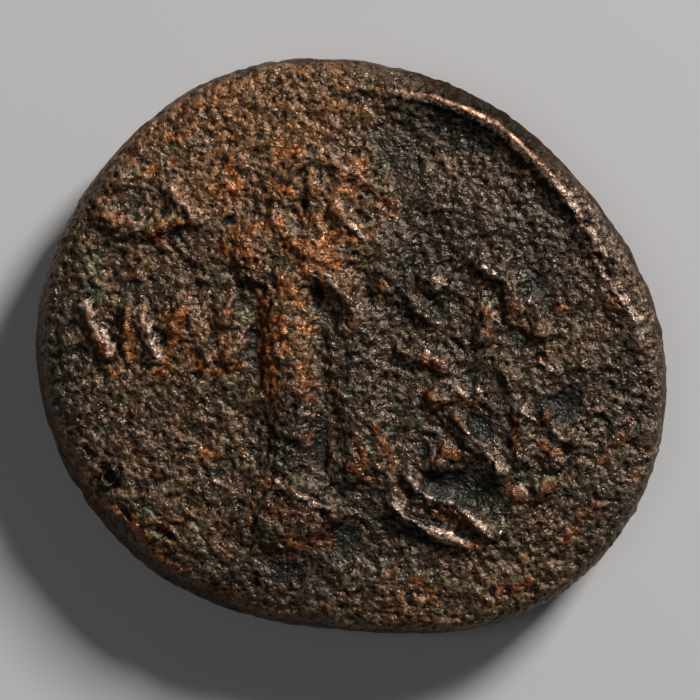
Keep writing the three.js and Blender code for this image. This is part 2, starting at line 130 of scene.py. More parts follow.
# Sharp low crests on the relief: start, end, half width in millimetres, rise in millimetres
CRESTS = strokes(
    [
        # rim
        (400, 92, 420, 96, 0.1, 0.04), (420, 96, 440, 100, 0.1, 0.05), (440, 100, 470, 111, 0.11, 0.07),
        (470, 111, 497, 125, 0.11, 0.08), (497, 125, 514, 139, 0.11, 0.09),
        (514, 139, 530, 155, 0.11, 0.09), (530, 155, 545, 169, 0.12, 0.08),
        (552, 180, 560, 192, 0.16, 0.1), (562, 188, 571, 203, 0.16, 0.13),
        (572, 205, 583, 222, 0.16, 0.12), (592, 235, 603, 258, 0.16, 0.12),
        (600, 262, 607, 280, 0.12, 0.09), (610, 281, 621, 300, 0.16, 0.13),
        (625, 303, 638, 318, 0.16, 0.13), (642, 330, 648, 345, 0.14, 0.08),
        # upper left
        (118, 214, 139, 225, 0.13, 0.1), (100, 211, 118, 222, 0.2, 0.1),
        (152, 234, 163, 241, 0.15, 0.1), (160, 226, 170, 229, 0.16, 0.1),
        (170, 190, 192, 215, 0.14, 0.1), (176, 221, 184, 224, 0.16, 0.1),
        (121, 166, 124, 184, 0.11, 0.1), (180, 155, 204, 168, 0.12, 0.07),
        (92, 232, 104, 240, 0.12, 0.06), (166, 137, 186, 137, 0.14, 0.08),
        (81, 233, 83, 255, 0.12, 0.08),
        # left strokes
        (88, 303, 98, 335, 0.14, 0.12), (98, 335, 108, 358, 0.2, 0.14), (108, 366, 116, 372, 0.17, 0.1),
        (126, 309, 131, 334, 0.17, 0.14), (130, 340, 126, 357, 0.17, 0.12),
        (142, 307, 149, 334, 0.16, 0.14), (149, 334, 158, 358, 0.16, 0.16),
        (156, 374, 164, 372, 0.2, 0.14), (183, 310, 176, 328, 0.24, 0.14),
        (173, 338, 165, 360, 0.18, 0.12), (187, 331, 192, 346, 0.12, 0.12),
        (194, 352, 200, 368, 0.14, 0.12), (200, 371, 210, 366, 0.18, 0.1),
        (229, 311, 222, 331, 0.14, 0.12), (224, 342, 228, 352, 0.16, 0.12),
        (219, 373, 232, 366, 0.18, 0.12),
        # figure
        (260, 296, 271, 316, 0.12, 0.1), (252, 244, 264, 254, 0.11, 0.1),
        (257, 256, 270, 264, 0.11, 0.1), (302, 234, 329, 249, 0.12, 0.09),
        (340, 166, 355, 173, 0.12, 0.1), (355, 177, 370, 183, 0.12, 0.1),
        (352, 190, 364, 197, 0.12, 0.08), (336, 203, 350, 212, 0.13, 0.12),
        (346, 222, 361, 235, 0.12, 0.13), (352, 245, 361, 259, 0.1, 0.07),
        (328, 279, 340, 285, 0.14, 0.14), (340, 285, 347, 300, 0.13, 0.18),
        (347, 300, 354, 311, 0.12, 0.16), (354, 311, 364, 319, 0.1, 0.12),
        (284, 333, 300, 343, 0.1, 0.06), (300, 410, 314, 417, 0.13, 0.1),
        (375, 427, 385, 445, 0.16, 0.14), (385, 445, 397, 465, 0.16, 0.12),
        (360, 445, 364, 458, 0.15, 0.1), (355, 432, 366, 440, 0.1, 0.08),
        (358, 413, 364, 420, 0.12, 0.1), (353, 465, 370, 478, 0.16, 0.08),
        (311, 468, 326, 478, 0.13, 0.08), (372, 360, 384, 368, 0.1, 0.08),
        # base
        (276, 480, 290, 489, 0.12, 0.14), (290, 489, 305, 497, 0.12, 0.17),
        (305, 497, 318, 504, 0.12, 0.17), (318, 504, 330, 509, 0.12, 0.15),
        (330, 509, 338, 522, 0.12, 0.12), (243, 497, 254, 504, 0.1, 0.08),
        (266, 541, 285, 552, 0.12, 0.06),
        # slanting form
        (409, 479, 417, 487, 0.11, 0.14), (417, 487, 427, 498, 0.12, 0.17),
        (427, 498, 447, 501, 0.13, 0.19), (447, 501, 463, 508, 0.14, 0.2),
        (463, 508, 476, 521, 0.14, 0.2), (476, 521, 491, 534, 0.13, 0.17),
        (393, 504, 404, 517, 0.12, 0.15), (404, 517, 422, 524, 0.1, 0.1),
        (422, 524, 440, 531, 0.11, 0.14), (440, 531, 461, 541, 0.12, 0.16),
        (473, 547, 481, 541, 0.17, 0.1), (445, 515, 455, 522, 0.16, 0.06),
        # right strokes
        (476, 264, 487, 274, 0.12, 0.13), (487, 274, 500, 282, 0.11, 0.1),
        (432, 276, 445, 284, 0.11, 0.09), (416, 293, 433, 293, 0.1, 0.07),
        (412, 305, 424, 317, 0.12, 0.11), (424, 317, 443, 327, 0.12, 0.09),
        (458, 292, 466, 300, 0.12, 0.08), (521, 297, 531, 302, 0.11, 0.1),
        (450, 334, 465, 343, 0.12, 0.08), (400, 351, 410, 355, 0.14, 0.1),
        (422, 350, 437, 360, 0.12, 0.13), (420, 357, 444, 368, 0.24, 0.1),
        (440, 379, 453, 386, 0.12, 0.1), (453, 386, 467, 396, 0.12, 0.12),
        (437, 391, 444, 399, 0.11, 0.1), (428, 398, 444, 405, 0.22, 0.1),
        (455, 402, 473, 403, 0.16, 0.08), (475, 389, 480, 397, 0.12, 0.1),
        (451, 416, 461, 427, 0.14, 0.15), (461, 427, 472, 437, 0.13, 0.17),
        (472, 437, 484, 446, 0.12, 0.16), (484, 450, 500, 469, 0.16, 0.12),
        (446, 450, 455, 454, 0.24, 0.12), (433, 466, 441, 470, 0.24, 0.1),
        (520, 410, 532, 419, 0.14, 0.1), (512, 418, 518, 424, 0.16, 0.09),
        (515, 430, 515, 452, 0.14, 0.08), (526, 434, 541, 441, 0.1, 0.09),
        (541, 411, 544, 420, 0.16, 0.1), (551, 432, 562, 437, 0.11, 0.1),
        (562, 437, 574, 446, 0.11, 0.11), (543, 446, 560, 449, 0.16, 0.1),
        (484, 309, 487, 318, 0.2, 0.12), (488, 322, 488, 338, 0.14, 0.09),
        (513, 301, 513, 308, 0.15, 0.09), (521, 321, 533, 333, 0.13, 0.09),
        (545, 485, 552, 488, 0.2, 0.1), (504, 490, 514, 492, 0.24, 0.1),
        (553, 309, 563, 306, 0.12, 0.08), (540, 362, 558, 372, 0.12, 0.09),
        (584, 402, 598, 410, 0.12, 0.1), (568, 258, 582, 275, 0.12, 0.08),
        (575, 283, 592, 291, 0.11, 0.08), (497, 560, 506, 568, 0.11, 0.08),
        (425, 575, 434, 588, 0.12, 0.08), (384, 575, 392, 581, 0.14, 0.08),
        (498, 338, 508, 348, 0.11, 0.06), (500, 352, 506, 360, 0.1, 0.06),
        # lower left
        (208, 455, 220, 450, 0.2, 0.1), (214, 481, 224, 484, 0.1, 0.08),
        (105, 490, 118, 503, 0.11, 0.1), (155, 533, 182, 541, 0.1, 0.08),
    ],
    width_size=1.0,
)

# Flats a little lower than what is round them, smooth and dark, with their depth in millimetres
FLATS = patches(
    [
        (479, 428, 19, 12, -50, 0.09), (460, 489, 44, 20, -14, 0.1), (561, 407, 22, 16, 10, 0.08),
        (570, 398, 14, 6, 0, 0.06), (534, 289, 12, 18, -20, 0.06), (424, 452, 7, 8, 0, 0.06),
        (440, 310, 10, 5, 0, 0.05), (322, 445, 8, 28, 0, 0.08), (318, 298, 6, 14, 0, 0.08),
        (325, 330, 8, 18, 0, 0.04), (130, 285, 14, 7, 10, 0.05), (82, 352, 8, 6, 0, 0.06),
        (80, 366, 6, 8, 0, 0.05), (345, 540, 14, 22, 20, 0.06), (240, 305, 8, 9, 0, 0.07),
        (252, 350, 7, 28, -8, 0.06), (224, 466, 10, 15, -20, 0.05), (198, 431, 14, 8, 0, 0.05),
        (110, 428, 8, 13, -20, 0.04), (235, 400, 16, 12, 0, 0.04), (285, 570, 22, 10, -5, 0.05),
        (365, 590, 10, 14, 0, 0.04), (205, 288, 6, 5, 0, 0.05), (455, 138, 46, 14, -27, 0.035),
        (405, 160, 14, 40, 0, 0.03), (137, 204, 10, 6, 0, 0.06), (166, 212, 7, 7, 0, 0.06),
        (176, 234, 12, 7, 20, 0.05), (228, 222, 8, 5, 30, 0.05), (385, 150, 16, 22, 20, 0.04),
        (420, 535, 20, 8, -20, 0.05), (430, 522, 14, 5, -15, 0.06), (408, 262, 6, 5, 0, 0.05),
        (470, 375, 8, 8, 0, 0.05), (516, 341, 13, 10, 0, 0.06), (525, 420, 6, 8, 0, 0.04),
        (545, 300, 10, 18, 20, 0.05), (580, 315, 8, 14, 20, 0.04), (262, 375, 3, 16, 0, 0.04),
        (312, 150, 5, 7, 0, 0.05), (320, 178, 4, 10, 0, 0.06), (330, 172, 5, 6, 0, 0.04),
        (345, 300, 5, 10, 0, 0.03), (368, 560, 8, 8, 0, 0.03), (505, 555, 8, 10, 0, 0.04),
        (155, 345, 4, 14, -20, 0.03), (120, 318, 5, 14, -15, 0.06), (165, 340, 4, 12, 15, 0.05),
        (98, 322, 5, 6, 0, 0.04), (210, 345, 7, 12, -30, 0.05), (112, 478, 10, 14, -20, 0.08),
        (540, 185, 6, 5, 0, 0.05),
    ]
)

# Orange-brown patina, with its strength
ORANGE = strokes(
    [
        (99, 338, 107, 357, 5, 1), (110, 370, 116, 374, 5, 0.6), (125, 309, 128, 309, 4, 0.7),
        (129, 315, 130, 334, 5.5, 0.95), (130, 345, 126, 358, 5, 0.8), (160, 374, 163, 373, 7, 1),
        (180, 314, 176, 328, 8, 1), (174, 338, 166, 360, 6, 0.85), (186, 332, 191, 346, 3.5, 0.9),
        (195, 353, 200, 370, 5, 0.95), (200, 371, 212, 368, 6, 1), (228, 311, 230, 312, 4, 0.9),
        (222, 326, 221, 334, 4, 0.9), (226, 344, 229, 352, 4, 0.7), (220, 372, 236, 368, 7, 1),
        (106, 217, 118, 219, 6, 0.8), (118, 218, 136, 224, 4, 0.7), (98, 214, 106, 220, 5, 0.6),
        (152, 235, 163, 241, 5, 0.8), (160, 226, 170, 229, 5, 0.9), (172, 221, 184, 224, 5, 0.9),
        (140, 178, 156, 170, 5, 0.7), (155, 160, 158, 166, 4, 0.5), (138, 201, 142, 203, 4, 0.6),
        (230, 165, 238, 190, 8, 0.7), (218, 190, 232, 194, 8, 0.6), (165, 110, 178, 104, 4, 0.8),
        (130, 268, 134, 272, 5, 0.6), (168, 138, 182, 140, 6, 0.6), (170, 160, 174, 165, 4, 0.7),
        # figure
        (240, 236, 252, 254, 10, 1), (225, 250, 236, 252, 7, 0.9), (245, 262, 262, 263, 5, 1),
        (255, 225, 250, 232, 6, 0.7), (265, 228, 278, 222, 8, 0.7), (300, 215, 305, 216, 5, 0.9),
        (290, 245, 330, 262, 13, 0.9), (325, 240, 350, 240, 9, 0.75), (345, 235, 352, 240, 7, 0.9),
        (300, 268, 312, 268, 6, 0.7), (263, 300, 270, 392, 8, 0.95), (278, 320, 285, 350, 8, 0.8),
        (300, 322, 310, 332, 7, 0.7), (282, 285, 300, 300, 9, 0.7), (325, 282, 334, 284, 5, 0.9),
        (346, 302, 352, 316, 5, 0.9), (355, 316, 350, 328, 5, 0.6), (303, 370, 308, 384, 6, 0.7),
        (300, 390, 314, 400, 6, 0.7), (305, 436, 311, 434, 5, 1), (272, 395, 280, 410, 8, 0.6),
        (362, 165, 366, 172, 6, 0.9), (355, 180, 370, 190, 5, 0.5), (280, 150, 300, 152, 8, 0.75),
        (280, 190, 292, 196, 6, 0.7), (345, 190, 352, 192, 6, 0.7), (330, 195, 336, 200, 5, 0.5),
        (375, 280, 385, 286, 6, 0.6), (385, 200, 392, 215, 8, 0.5), (362, 230, 368, 234, 5, 0.6),
        (376, 428, 383, 440, 4.5, 0.95), (383, 440, 394, 466, 6, 0.9), (357, 440, 363, 462, 6, 0.8),
        (350, 466, 372, 482, 7, 0.65), (378, 382, 372, 390, 4, 0.5), (333, 385, 334, 394, 4, 0.7),
        # base
        (275, 510, 330, 520, 18, 0.45), (290, 540, 325, 540, 12, 0.6), (316, 545, 322, 541, 5, 1),
        (328, 538, 338, 531, 5, 1), (278, 552, 283, 550, 5, 0.9), (292, 555, 297, 554, 4, 0.8),
        (255, 505, 252, 522, 5, 0.6), (286, 488, 290, 489, 4, 0.9), (300, 492, 312, 498, 3, 0.8),
        (262, 480, 275, 486, 6, 0.6),
        # slanting form
        (434, 512, 470, 520, 6, 0.95), (470, 520, 482, 530, 4, 0.8), (443, 514, 452, 520, 5, 1),
        (472, 547, 482, 542, 5.5, 1), (395, 490, 415, 500, 5, 0.5),
        # right strokes
        (484, 312, 488, 316, 5.5, 1), (486, 325, 490, 336, 4, 0.6), (512, 301, 514, 306, 4.5, 0.9),
        (521, 321, 534, 334, 3.5, 0.7), (400, 352, 410, 356, 4, 0.8), (422, 356, 445, 362, 4, 0.85),
        (422, 364, 440, 368, 7, 0.6), (430, 396, 434, 404, 7, 0.95), (440, 403, 447, 405, 4, 0.95),
        (455, 401, 472, 404, 4, 0.85), (477, 396, 478, 400, 3, 0.9), (451, 418, 456, 424, 3.5, 1),
        (456, 424, 463, 429, 3, 0.9), (470, 436, 476, 441, 3, 0.8), (445, 450, 453, 455, 7, 1),
        (450, 436, 455, 440, 5, 0.5), (434, 462, 440, 474, 6, 0.55), (512, 420, 520, 425, 4.5, 0.95),
        (515, 430, 515, 455, 4, 0.7), (543, 412, 545, 420, 5, 1), (543, 446, 560, 450, 4, 0.95),
        (545, 485, 552, 489, 6, 0.95), (505, 486, 513, 494, 8, 0.6), (555, 309, 564, 305, 3, 0.9),
        (575, 475, 580, 477, 4, 0.8), (541, 357, 545, 358, 3, 0.7), (412, 306, 418, 311, 3, 0.8),
        (416, 292, 422, 292, 3.5, 0.9), (470, 298, 476, 301, 3, 0.9), (566, 298, 568, 299, 3, 0.9),
        (430, 328, 440, 329, 3, 0.6), (514, 376, 517, 377, 3, 0.6), (474, 560, 476, 562, 3, 0.5),
        # border
        (72, 455, 85, 480, 4, 0.8), (95, 497, 118, 510, 4, 0.8), (130, 520, 150, 545, 5, 0.8),
        (155, 550, 185, 572, 5, 0.7), (200, 582, 240, 600, 5, 0.5), (58, 420, 66, 445, 4, 0.6),
        (505, 148, 540, 185, 8, 0.5), (575, 215, 590, 235, 5, 0.5), (590, 240, 600, 262, 5, 0.6),
        (612, 300, 622, 315, 5, 0.6), (600, 460, 630, 420, 8, 0.5), (560, 540, 600, 500, 8, 0.5),
        (100, 200, 180, 125, 7, 0.35), (180, 118, 260, 80, 9, 0.35), (270, 72, 340, 68, 7, 0.3),
        (384, 575, 391, 580, 4, 0.9), (415, 580, 432, 592, 6, 0.85), (272, 590, 276, 592, 4, 0.8),
        (205, 452, 215, 452, 7, 0.95), (208, 460, 220, 462, 5, 0.5), (240, 445, 242, 452, 4, 0.7),
        (220, 588, 240, 592, 7, 0.7), (500, 590, 530, 580, 6, 0.7),
    ]
)

# Rubbed, shiny flanks and crests, with their strength: partly rubbed metal, partly painted highlight
PALE = strokes(
    [
        (552, 178, 560, 192, 4, 0.7), (561, 186, 571, 203, 5, 0.9), (572, 205, 583, 222, 4, 0.8),
        (558, 176, 592, 213, 7, 0.45), (592, 213, 619, 254, 7, 0.5), (619, 254, 650, 316, 8, 0.5),
        (290, 88, 330, 92, 6, 0.5), (330, 95, 372, 100, 6, 0.5), (255, 98, 290, 92, 5, 0.5),
        (200, 118, 240, 105, 5, 0.4), (95, 462, 101, 472, 4, 0.6), (120, 485, 132, 500, 4, 0.6),
        (106, 452, 112, 458, 5, 0.5), (168, 432, 178, 446, 5, 0.5), (150, 420, 162, 428, 5, 0.45),
        (615, 395, 625, 410, 5, 0.5), (628, 370, 636, 385, 5, 0.5), (600, 425, 608, 436, 4, 0.5),
        (590, 233, 603, 258, 5, 0.9), (600, 262, 607, 280, 4, 0.7), (609, 281, 621, 300, 6, 1),
        (624, 301, 639, 320, 6, 0.95), (641, 330, 648, 345, 4, 0.6), (580, 222, 590, 240, 4, 0.6),
        (84, 302, 92, 308, 6, 0.9), (96, 318, 112, 352, 7, 0.85), (145, 318, 152, 340, 7, 0.95),
        (152, 340, 160, 360, 6, 1), (190, 330, 198, 345, 5, 0.9), (200, 352, 214, 366, 4, 0.8),
        (198, 316, 205, 326, 7, 0.5), (238, 318, 246, 335, 8, 0.45), (238, 352, 246, 362, 5, 0.6),
        (118, 212, 136, 222, 4, 0.8), (168, 188, 190, 214, 5, 0.8), (122, 166, 122, 184, 3, 0.8),
        (158, 160, 168, 168, 6, 0.5), (140, 210, 145, 214, 5, 0.5), (245, 140, 240, 150, 5, 0.4),
        (335, 202, 350, 212, 4, 0.8), (346, 222, 362, 236, 3.5, 1), (300, 204, 318, 214, 4, 0.4),
        (328, 278, 347, 299, 3.5, 1), (352, 310, 364, 319, 2.5, 0.9), (276, 480, 284, 485, 3, 0.8),
        (296, 492, 328, 508, 3, 1), (410, 478, 416, 483, 3, 1), (418, 489, 428, 499, 3, 0.9),
        (430, 499, 455, 503, 3.5, 1), (455, 503, 490, 532, 3.5, 1), (393, 504, 403, 516, 3, 0.8),
        (404, 517, 424, 524, 3, 0.6), (426, 526, 460, 541, 3.5, 0.95), (476, 264, 492, 277, 3, 1),
        (434, 278, 446, 285, 3, 0.9), (414, 306, 430, 322, 3, 0.7), (438, 322, 446, 328, 3, 0.6),
        (422, 350, 436, 359, 3, 1), (442, 380, 468, 397, 4, 0.9), (438, 390, 446, 400, 3, 0.9),
        (475, 388, 480, 396, 3, 0.8), (463, 428, 486, 446, 2.5, 1), (488, 455, 502, 468, 5, 0.7),
        (520, 296, 532, 303, 3, 0.9), (488, 306, 498, 318, 5, 0.6), (522, 410, 534, 420, 4, 0.8),
        (528, 436, 542, 442, 2.5, 0.8), (551, 432, 574, 446, 2.5, 0.9), (512, 382, 516, 392, 7, 0.6),
        (540, 362, 560, 374, 3, 0.8), (585, 403, 600, 411, 3, 0.8), (575, 445, 582, 452, 5, 0.6),
        (540, 465, 548, 470, 5, 0.6), (497, 560, 508, 569, 3, 0.8), (385, 562, 392, 564, 3, 0.8),
        (515, 484, 524, 487, 4, 0.8), (312, 467, 324, 475, 3, 0.7), (375, 362, 382, 368, 3, 0.7),
        (250, 244, 264, 254, 2.5, 0.8), (258, 257, 271, 264, 2.5, 0.8), (275, 262, 285, 268, 3, 0.6),
        (340, 166, 350, 170, 3, 0.8), (358, 178, 372, 184, 3, 0.7), (354, 190, 364, 197, 3, 0.7),
        (208, 144, 222, 150, 3, 0.7), (180, 155, 204, 168, 4, 0.6), (215, 222, 220, 225, 3, 0.6),
        (302, 412, 314, 417, 3, 0.8), (356, 413, 362, 420, 3, 0.8), (355, 432, 366, 440, 2.5, 0.8),
        (205, 565, 218, 578, 4, 0.6), (215, 480, 225, 485, 3, 0.7), (390, 365, 400, 375, 6, 0.3),
        (70, 385, 78, 392, 6, 0.5), (74, 362, 84, 364, 4, 0.5),
    ]
)

# Green corrosion, with its strength
GREEN = patches(
    [
        (88, 262, 16, 12, -30, 0.6), (96, 292, 18, 10, -30, 0.8), (70, 296, 14, 8, 0, 0.5),
        (134, 172, 9, 7, 0, 0.8), (145, 190, 18, 10, 0, 0.35), (170, 214, 6, 4, 0, 0.8),
        (100, 248, 14, 6, 0, 0.5), (238, 154, 5, 4, 0, 0.9), (270, 135, 5, 5, 0, 0.6),
        (128, 205, 8, 8, 0, 0.4), (222, 278, 12, 8, 0, 0.5), (80, 362, 6, 4, 0, 0.9),
        (522, 472, 8, 8, 0, 0.95), (415, 422, 6, 5, 0, 0.9), (389, 431, 6, 8, 20, 0.95),
        (350, 448, 6, 5, 0, 0.7), (577, 288, 5, 5, 0, 0.9), (577, 322, 4, 4, 0, 0.7),
        (580, 332, 4, 4, 0, 0.7), (465, 372, 5, 5, 0, 0.6), (296, 482, 6, 9, 20, 0.6),
        (384, 562, 6, 5, 0, 0.9), (418, 552, 6, 6, 0, 0.6), (205, 545, 6, 5, 0, 0.9),
        (272, 462, 7, 5, 0, 0.6), (264, 538, 8, 4, -40, 0.6), (345, 395, 8, 6, 0, 0.4),
        (150, 507, 8, 6, 0, 0.8), (163, 487, 7, 5, 0, 0.8), (195, 530, 7, 5, 0, 0.6),
        (112, 477, 6, 8, -20, 1), (610, 240, 6, 10, 0, 0.6), (640, 330, 8, 14, 0, 0.5),
        (475, 550, 8, 8, 0, 0.3), (500, 480, 8, 5, 0, 0.5), (455, 378, 10, 5, -20, 0.35),
        (314, 205, 5, 6, 0, 0.6), (285, 262, 6, 4, 0, 0.5), (230, 440, 7, 5, 0, 0.5),
        (190, 392, 7, 6, 0, 0.5), (120, 400, 10, 8, 0, 0.4), (100, 430, 10, 10, 0, 0.4),
    ]
)

# Broad parts of the face that are lighter and warmer, with their strength
LIGHT = patches(
    [
        (260, 140, 120, 70, 20, 0.8), (150, 130, 70, 40, 45, 0.6), (330, 210, 70, 80, 0, 0.7),
        (285, 350, 35, 60, 0, 0.5), (170, 340, 100, 40, 0, 0.35), (390, 600, 50, 16, 0, 0.4),
    ]
)

# Broad parts of the face that are darker, with their strength
SHADE = patches(
    [
        (350, 520, 90, 60, 0, 0.8), (290, 430, 40, 50, 0, 0.8), (370, 380, 40, 90, 0, 0.6),
        (460, 500, 60, 50, 0, 0.7), (400, 150, 30, 60, -10, 0.7), (470, 140, 60, 25, -25, 0.8),
        (260, 580, 110, 25, 5, 0.8), (60, 350, 22, 90, 0, 0.7), (420, 220, 20, 90, 0, 0.6),
        (290, 520, 60, 40, 0, 0.5), (550, 400, 60, 40, 0, 0.5), (430, 260, 60, 70, 0, 1.1),
        (530, 240, 80, 60, -40, 0.8), (620, 400, 40, 60, 0, 0.8), (600, 500, 60, 40, -50, 0.6),
        (480, 420, 90, 70, 0, 0.6), (440, 340, 60, 60, 0, 0.6),
    ]
)

# Places in millimetres. Rim ridge, from its upper left end to the right: x, y, and how much is rubbed bright
RIM_CREST = [
    (1.3, 8.5, 0.1),
    (2.0, 8.36, 0.4),
    (2.96, 8.17, 0.7),
    (3.95, 7.81, 0.9),
    (4.85, 7.34, 1.0),
    (5.42, 6.88, 1.0),
    (5.95, 6.35, 0.65),
    (6.45, 5.88, 0.35),
    (7.0, 5.3, 0.1),
    (7.3, 4.85, 0.0),
    (7.6, 4.35, 0.0),
    (8.15, 3.5, 0.0),
    (8.5, 2.6, 0.0),
    (8.8, 1.9, 0.0),
    (9.4, 1.1, 0.0),
    (9.8, 0.2, 0.0),
]

# What part fills the deep pit by the lower left edge: x, y, half length, half width, turn, height
PIT_FILLING = [(-8.0, -4.35, 0.34, 0.46, -20, FILLING_HEIGHT)]

# Pits eaten into the metal: x, y, half length, half width, turn, depth
PITS = [
    (-1.65, 3.5, 0.2, 0.14, 20, 0.1),
    (-4.1, 4.1, 0.26, 0.14, 30, 0.05),
    (-6.2, -6.2, 0.46, 0.14, -34, 0.12),
    (-7.54, -5.45, 0.36, 0.13, -50, 0.13),
    (-8.74, -3.46, 0.36, 0.11, -35, 0.07),
    (-7.6, -0.2, 0.12, 0.3, 10, 0.1),
    (-5.15, -0.95, 0.2, 0.1, 0, 0.1),
]


def only(piece):
    """Selects one object and makes it the active one."""
    bpy.ops.object.select_all(action="DESELECT")
    piece.select_set(True)
    bpy.context.view_layer.objects.active = piece


def apply_modifier(piece, kind, **settings):
    """Adds a modifier, sets it and applies it."""
    only(piece)
    modifier = piece.modifiers.new(kind.lower(), kind)
    for name, value in settings.items():
        setattr(modifier, name, value)
    bpy.ops.object.modifier_apply(modifier=modifier.name)


def smoothstep(low, high, value):
    """0 below low, 1 above high, and a soft way between them. With low above high it falls instead."""
    share = np.clip((value - low) / (high - low), 0.0, 1.0)
    return share * share * (3.0 - 2.0 * share)


def ovals(place, rows, inner=0.5, outer=1.3):
    """The strongest of some soft-edged ovals at each point."""
    total = np.zeros(len(place))
    for x, y, half_length, half_width, turn, strength in rows:
        c, s = math.cos(math.radians(turn)), math.sin(math.radians(turn))
        along = (c * (place[:, 0] - x) + s * (place[:, 1] - y)) / half_length
        across = (c * (place[:, 1] - y) - s * (place[:, 0] - x)) / half_width
        total = np.maximum(total, strength * (1.0 - smoothstep(inner, outer, np.hypot(along, across))))
    return total


def from_line(place, x0, y0, x1, y1):
    """How far each point is from a straight line, and the share along the line where it is nearest."""
    way_x, way_y = x1 - x0, y1 - y0
    from_x, from_y = place[:, 0] - x0, place[:, 1] - y0
    share = np.clip((from_x * way_x + from_y * way_y) / max(way_x**2 + way_y**2, 1e-9), 0.0, 1.0)
    return np.hypot(from_x - share * way_x, from_y - share * way_y), share


def streaks(place, rows, inner=0.5, outer=1.3):
    """The strongest of some soft-edged strokes at each point."""
    total = np.zeros(len(place))
    for x0, y0, x1, y1, half_width, strength in rows:
        away, _ = from_line(place, x0, y0, x1, y1)
        total = np.maximum(total, strength * (1.0 - smoothstep(inner, outer, away / half_width)))
    return total


def read(source, name, width, kind=np.float32):
    """Numbers of a mesh's points or edges as rows."""
    values = np.empty(len(source) * width, dtype=kind)
    source.foreach_get(name, values)
    return values.reshape(-1, width)


def read_points(mesh):
    return read(mesh.vertices, "co", 3).astype(float)


def read_edges(mesh):
    return read(mesh.edges, "vertices", 2, np.int32)


def write_points(mesh, points):
    mesh.vertices.foreach_set("co", points.astype(np.float32).ravel())
    mesh.update()


def worn(points, edges, passes):
    """Where the points would lie after wear: each halfway to the middle of its neighbours, over and over."""
    count = len(points)
    a, b = edges[:, 0], edges[:, 1]
    neighbours = np.bincount(a, minlength=count) + np.bincount(b, minlength=count)
    moved = points.copy()
    for _ in range(passes):
        middle = np.empty_like(moved)
        for axis in range(moved.shape[1]):
            middle[:, axis] = np.bincount(a, moved[b, axis], count) + np.bincount(b, moved[a, axis], count)
        moved = 0.5 * moved + 0.5 * middle / neighbours[:, None]
    return moved


def set_attribute(mesh, name, values):
    """A number for each vertex, which the material reads by name."""
    attribute = mesh.attributes.new(name, "FLOAT", "POINT")
    attribute.data.foreach_set("value", np.asarray(values, dtype=np.float32))


def set_weights(piece, name, values, steps=64):
    """A vertex group from a list of weights, in steps fine enough for a modifier."""
    group = piece.vertex_groups.new(name=name)
    rounded = np.round(np.clip(values, 0.0, 1.0) * steps).astype(int)
    for step in range(1, steps + 1):
        chosen = np.nonzero(rounded == step)[0]
        if len(chosen):
            group.add(chosen.tolist(), step / steps, "REPLACE")


def move(coin, name, distance, amount):
    """Moves the skin up by an amount at each point, or down where the distance, its most, is negative."""
    set_weights(coin, name, amount / abs(distance))
    apply_modifier(coin, "DISPLACE", direction="Z", strength=distance, mid_level=0.0, vertex_group=name)


def cloud(name, size, kind="CLOUDS", **settings):
    """A procedural texture for the Displace modifier, its size in millimetres."""
    texture = bpy.data.textures.new(name, kind)
    texture.noise_scale = size
    for key, value in settings.items():
        setattr(texture, key, value)
    return texture


def roughen(coin, name, grain, group, **settings):
    """Moves the skin in and out along its normals by a texture. The grain is its size and its strength."""
    size, strength = grain
    apply_modifier(
        coin,
        "DISPLACE",
        texture=cloud(name, size, **settings),
        texture_coords="LOCAL",
        direction="NORMAL",
        strength=strength,
        mid_level=0.5,
        vertex_group=group,
    )


def copy_of_solid():
    """The CAD solid's own form in millimetres, with its loose triangles merged."""
    node = bpy.data.objects["coin"]
    piece = node.copy()
    piece.data = node.data.copy()
    piece.name = "struck_coin"
    bpy.context.collection.objects.link(piece)
    only(piece)
    bpy.ops.object.mode_set(mode="EDIT")
    bpy.ops.mesh.select_all(action="SELECT")
    bpy.ops.mesh.remove_doubles(threshold=1e-6)
    bpy.ops.object.mode_set(mode="OBJECT")
    piece.scale = (1.0 / METRES,) * 3
    bpy.ops.object.transform_apply(location=False, rotation=False, scale=True)
    return piece


def wandering(points, size=0.4, reach=0.16):
    """The points pushed about a little, so that marks laid on them get ragged edges."""
    pushes = [noise.noise_vector(Vector(point) / size) for point in points]
    return points + reach * np.array(pushes)


def crest_heights(place):
    """How far the sharp crests rise over the relief at each point."""
    total = np.zeros(len(place))
    for x0, y0, x1, y1, half_width, rise in CRESTS:
        away, _ = from_line(place, x0, y0, x1, y1)
        share = np.clip(1.0 - (away / (CREST_SPREAD * half_width)) ** 2, 0.0, 1.0)
        total = np.maximum(total, CREST_LEFT * rise * share**CREST_SHARPNESS)
    return total


def broken(points, size=0.35, low=0.25):
    """A share for each point that comes and goes along it, so that crests aren't even."""
    swings = np.array([noise.noise(Vector(point) / size) for point in points])
    return np.clip(0.72 + 0.9 * swings, low, 1.0)


def rim_shares(place):
    """For each point, how near the rim's ridge is, how much that is rubbed, and how far outside it lies."""
    nearest = np.full(len(place), 99.0)
    rubbed = np.zeros(len(place))
    for (x0, y0, rub0), (x1, y1, rub1) in zip(RIM_CREST, RIM_CREST[1:]):
        away, share = from_line(place, x0, y0, x1, y1)
        closer = away < nearest
        nearest[closer] = away[closer]
        rubbed[closer] = (rub0 + share * (rub1 - rub0))[closer]
    directions = np.arctan2([y for _, y, _ in RIM_CREST], [x for x, _, _ in RIM_CREST])
    reaches = np.hypot([x for x, _, _ in RIM_CREST], [y for _, y, _ in RIM_CREST])
    order = np.argsort(directions)
    direction = np.arctan2(place[:, 1], place[:, 0])
    reach = np.interp(direction, directions[order], reaches[order])
    inside_span = (direction > directions.min()) & (direction < directions.max())
    outside = np.where(inside_span, np.hypot(place[:, 0], place[:, 1]) - reach, -1.0)
    return nearest, rubbed, outside


